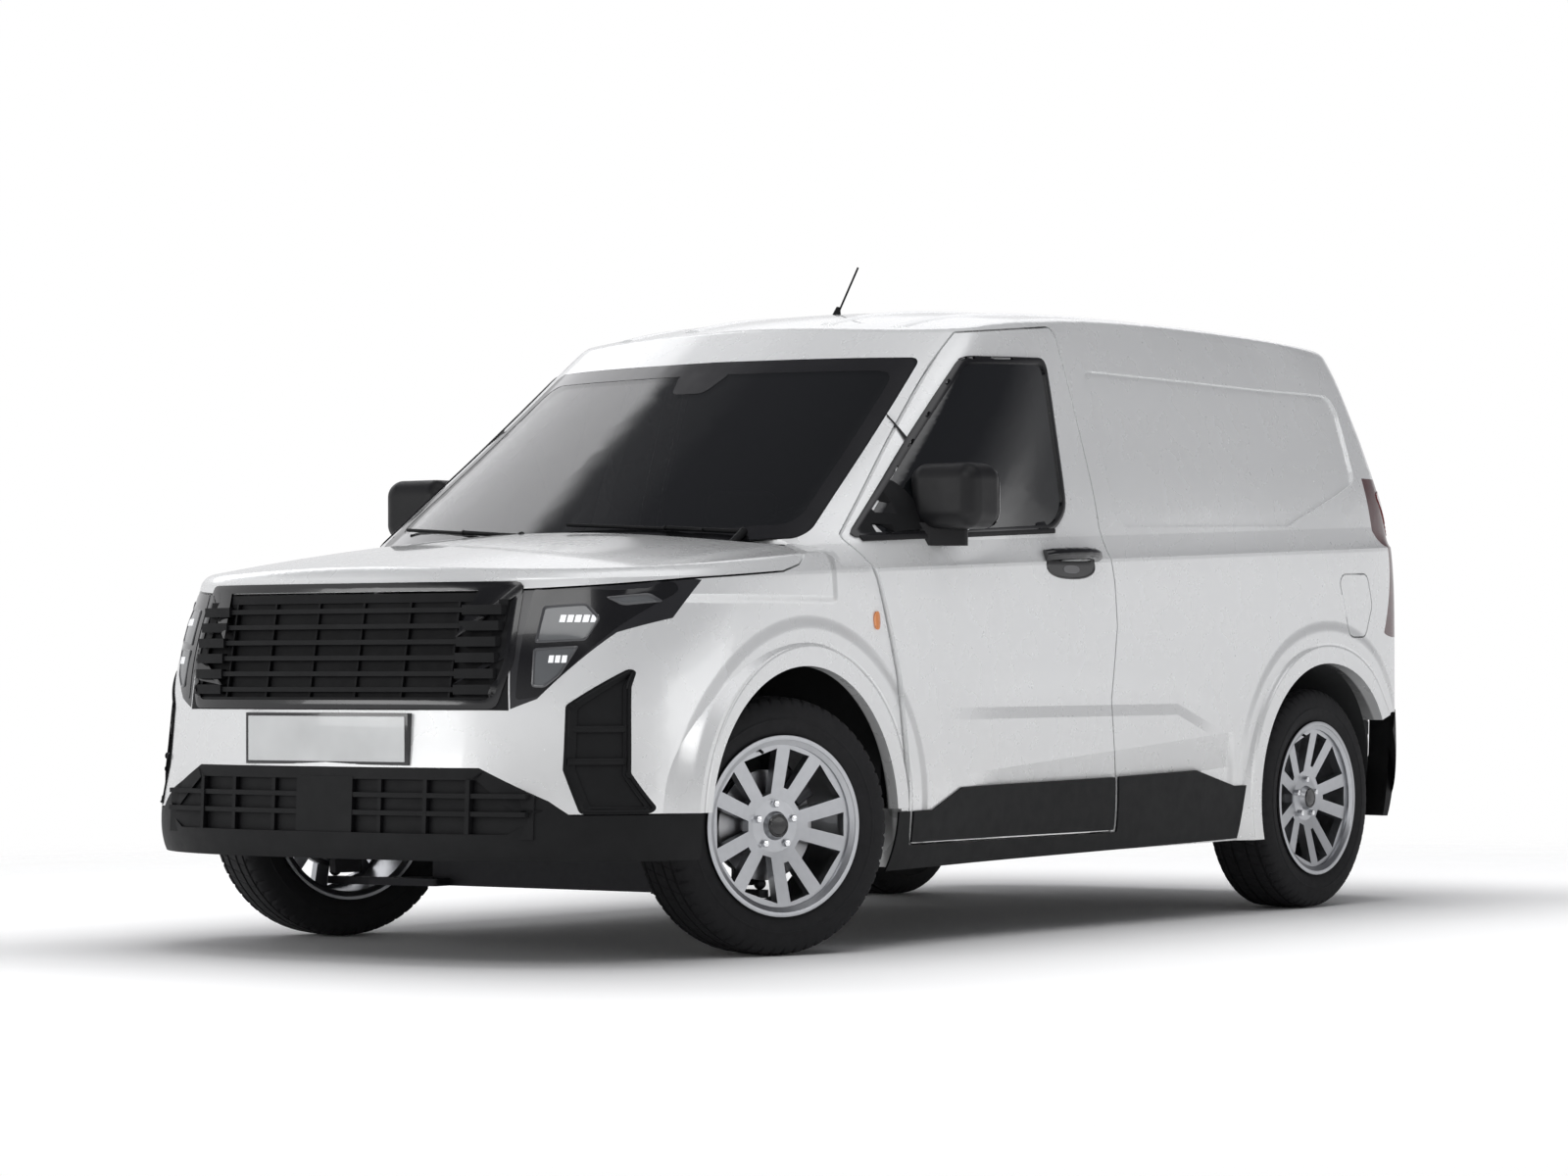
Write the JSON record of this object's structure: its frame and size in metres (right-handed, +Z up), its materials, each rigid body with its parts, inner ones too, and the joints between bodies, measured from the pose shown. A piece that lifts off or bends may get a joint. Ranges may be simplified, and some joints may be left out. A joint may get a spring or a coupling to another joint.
{
  "type": "panel van",
  "caption": "Small panel van with hinged front and rear doors, a sliding side door, an opening bonnet, a hollow cab and load space, and steered front wheels.",
  "frame": {"origin": "on the ground under the middle of the van's length and width", "axes": "+X towards the van's left side, +Y towards its rear, +Z up"},
  "size_m": [2.0602, 4.3404, 1.9113],
  "materials": {
    "alloy": "painted silver",
    "black_trim": "grained black plastic",
    "body_paint": "white paint, clear coated",
    "cabin": "soft grained dark plastic",
    "exhaust_steel": "dull",
    "glass": "tinted",
    "lamp": "clear lens",
    "mirror_black": "black plastic",
    "seat_fabric": "woven dark cloth",
    "steel": "dark coated steel",
    "tail_lamp": "red lens",
    "tyre": "black rubber"
  },
  "bodies": {
    "body": {"floor_pan": "body_paint", "body_side_left": "body_paint", "body_side_right": "body_paint", "roof_panel": "body_paint", "windscreen": "glass", "cowl_panel": "black_trim", "wing_left": "body_paint", "wing_right": "body_paint", "front_bumper": "body_paint", "lower_intake": "black_trim", "upper_grille": "black_trim", "headlamps": "lamp", "rear_bumper": "black_trim", "tail_lamps": "tail_lamp", "side_cladding": "black_trim", "sliding_door": "body_paint", "dashboard": "cabin", "seats": "seat_fabric", "bulkhead": "steel", "engine_block": "steel", "front_subframe": "steel", "rear_axle": "steel", "exhaust": "exhaust_steel", "fuel_tank": "steel", "wipers": "black_trim", "antenna": "black_trim"},
    "bonnet": {"bonnet": "body_paint"},
    "door_left": {"door_left": "body_paint", "door_glass_left": "glass", "door_cladding_left": "black_trim", "mirror_left": "mirror_black"},
    "door_right": {"door_right": "body_paint", "door_glass_right": "glass", "door_cladding_right": "black_trim", "mirror_right": "mirror_black"},
    "rear_door_left": {"rear_door_left": "body_paint"},
    "rear_door_right": {"rear_door_right": "body_paint"},
    "fuel_flap": {"fuel_flap": "body_paint"},
    "steering_wheel": {"steering_wheel": "cabin"},
    "knuckle_left": {"knuckle_left": "steel"},
    "knuckle_right": {"knuckle_right": "steel"},
    "wheel_fl": {"tyre_fl": "tyre", "rim_fl": "alloy"},
    "wheel_fr": {"tyre_fr": "tyre", "rim_fr": "alloy"},
    "wheel_rl": {"tyre_rl": "tyre", "rim_rl": "alloy"},
    "wheel_rr": {"tyre_rr": "tyre", "rim_rr": "alloy"}
  },
  "joints": [
    {"name": "spin_fl", "type": "hinge", "parent": "knuckle_left", "child": "wheel_fl", "pos_m": [0.74957, -1.31744, 0.333], "axis": [0.9367, -0.3502, 0], "continuous": true},
    {"name": "spin_fr", "type": "hinge", "parent": "knuckle_right", "child": "wheel_fr", "pos_m": [-0.74957, -1.27956, 0.333], "axis": [0.9367, -0.3502, 0], "continuous": true},
    {"name": "spin_rl", "type": "hinge", "parent": "body", "child": "wheel_rl", "pos_m": [0.753, 1.3935, 0.333], "axis": [1, 0, 0], "continuous": true},
    {"name": "spin_rr", "type": "hinge", "parent": "body", "child": "wheel_rr", "pos_m": [-0.753, 1.3935, 0.333], "axis": [1, 0, 0], "continuous": true},
    {"name": "steer_left", "type": "hinge", "parent": "body", "child": "knuckle_left", "pos_m": [0.69892, -1.2985, 0.333], "axis": [-0.1879, 0, 0.9822], "range_deg": [-15, 55]},
    {"name": "steer_right", "type": "hinge", "parent": "body", "child": "knuckle_right", "pos_m": [-0.69892, -1.2985, 0.333], "axis": [0.1879, 0, 0.9822], "range_deg": [-15, 55]},
    {"name": "steering_wheel_turn", "type": "hinge", "parent": "body", "child": "steering_wheel", "pos_m": [0.37296, -0.53128, 1.00128], "axis": [0, 0.8988, 0.4384], "range_deg": [-210, 770]},
    {"name": "bonnet_hinge", "type": "hinge", "parent": "body", "child": "bonnet", "pos_m": [0, -1.178, 1.072], "axis": [-1, 0, 0], "range_deg": [0, 55]},
    {"name": "door_left_hinge", "type": "hinge", "parent": "body", "child": "door_left", "pos_m": [0.895, -1.034, 0.75], "axis": [0, 0, -1], "range_deg": [0, 70]},
    {"name": "door_right_hinge", "type": "hinge", "parent": "body", "child": "door_right", "pos_m": [-0.895, -1.034, 0.75], "axis": [0, 0, 1], "range_deg": [0, 70]},
    {"name": "rear_door_left_hinge", "type": "hinge", "parent": "body", "child": "rear_door_left", "pos_m": [0.738, 2.008, 1], "axis": [0, 0, -1], "range_deg": [0, 90]},
    {"name": "rear_door_right_hinge", "type": "hinge", "parent": "body", "child": "rear_door_right", "pos_m": [-0.738, 2.008, 1], "axis": [0, 0, 1], "range_deg": [0, 90]},
    {"name": "fuel_flap_hinge", "type": "hinge", "parent": "body", "child": "fuel_flap", "pos_m": [0.8989, 1.48436, 0.91663], "axis": [0.0374, 0.2907, -0.9561], "range_deg": [0, 80]}
  ],
  "couplings": [
    {"joint": "steer_right", "follows": "steer_left", "ratio": 1},
    {"joint": "steering_wheel_turn", "follows": "steer_left", "ratio": 14}
  ]
}
